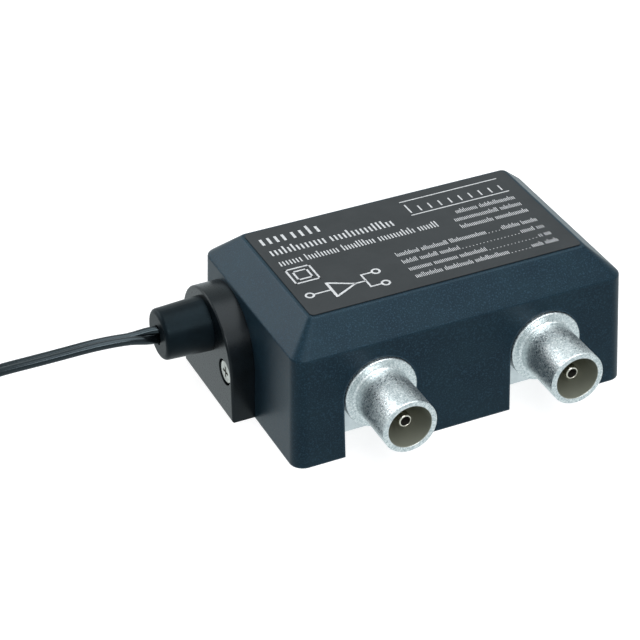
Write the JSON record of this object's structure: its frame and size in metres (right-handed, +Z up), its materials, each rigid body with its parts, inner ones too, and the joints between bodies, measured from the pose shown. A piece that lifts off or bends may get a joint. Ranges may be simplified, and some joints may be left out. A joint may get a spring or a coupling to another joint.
{
  "type": "tv signal amplifier",
  "caption": "Small mains-powered aerial amplifier: moulded case, coaxial sockets in front, a coaxial plug behind, captive twin flex with a flat plug.",
  "frame": {"origin": "on the standing surface, under the middle of the box that holds all but the cord, its coil and its plug", "axes": "+X along the long front side, away from the cable entry; +Y to the back; +Z up"},
  "size_m": [0.2595, 0.0735, 0.0314],
  "materials": {
    "cover_plastic": "fine moulded texture, blue-black",
    "label_film": "satin printed film",
    "chassis_steel": "zinc-plated sheet",
    "connector_nickel": "nickel-plated, slightly grainy",
    "contact_metal": "silver-plated",
    "insulator_plastic": "moulded",
    "screw_steel": "zinc-plated",
    "block_plastic": "fine moulded texture",
    "bush_plastic": "soft moulded",
    "flex_plastic": "satin extruded",
    "board_laminate": "paper laminate",
    "lead_plastic": "satin extruded",
    "core_steel": "stacked laminations",
    "bobbin_plastic": "moulded",
    "winding_tape": "yellow tape over copper",
    "barrier_plastic": "fibre sheet",
    "diode_plastic": "moulded",
    "resistor_lacquer": "lacquered",
    "fuse_body": "lacquered",
    "can_aluminium": "sleeved can",
    "regulator_plastic": "moulded",
    "trimmer_ceramic": "ceramic",
    "ferrite": "sintered",
    "enamelled_wire": "enamelled copper",
    "screen_tin": "tinned sheet",
    "chip_plastic": "moulded",
    "capacitor_ceramic": "ceramic",
    "plug_plastic": "moulded",
    "sleeve_plastic": "moulded",
    "pin_brass": "nickel-plated brass",
    "tie_plastic": "coated wire"
  },
  "bodies": {
    "root": {"top_cover": "cover_plastic", "top_label": "label_film", "chassis_frame": "chassis_steel", "base_lid": "chassis_steel", "case_screws": "screw_steel", "output_socket_left": "connector_nickel", "output_socket_right": "connector_nickel", "output_insulator_left": "insulator_plastic", "output_insulator_right": "insulator_plastic", "output_contact_left": "contact_metal", "output_contact_right": "contact_metal", "input_plug": "connector_nickel", "input_insulator": "insulator_plastic", "input_pin": "contact_metal", "neck_nuts": "screw_steel", "cable_entry_block": "block_plastic", "entry_screws": "screw_steel", "strain_relief": "bush_plastic", "circuit_board": "board_laminate", "board_screws": "screw_steel", "transformer_core": "core_steel", "transformer_bobbin": "bobbin_plastic", "transformer_winding": "winding_tape", "mains_barrier": "barrier_plastic", "rectifier_diodes": "diode_plastic", "resistors": "resistor_lacquer", "mains_fuse": "fuse_body", "smoothing_capacitor": "can_aluminium", "voltage_regulator": "regulator_plastic", "trimmer_capacitors": "trimmer_ceramic", "splitter_core": "ferrite", "splitter_winding": "enamelled_wire", "amplifier_screen": "screen_tin", "amplifier_chip": "chip_plastic", "surface_capacitors": "capacitor_ceramic", "inner_leads": "lead_plastic", "power_cord": "flex_plastic", "plug_lead": "flex_plastic", "cord_coil": "flex_plastic", "cord_tie": "tie_plastic", "mains_plug": "plug_plastic", "pin_sleeves": "sleeve_plastic", "plug_pins": "pin_brass"}
  },
  "joints": []
}
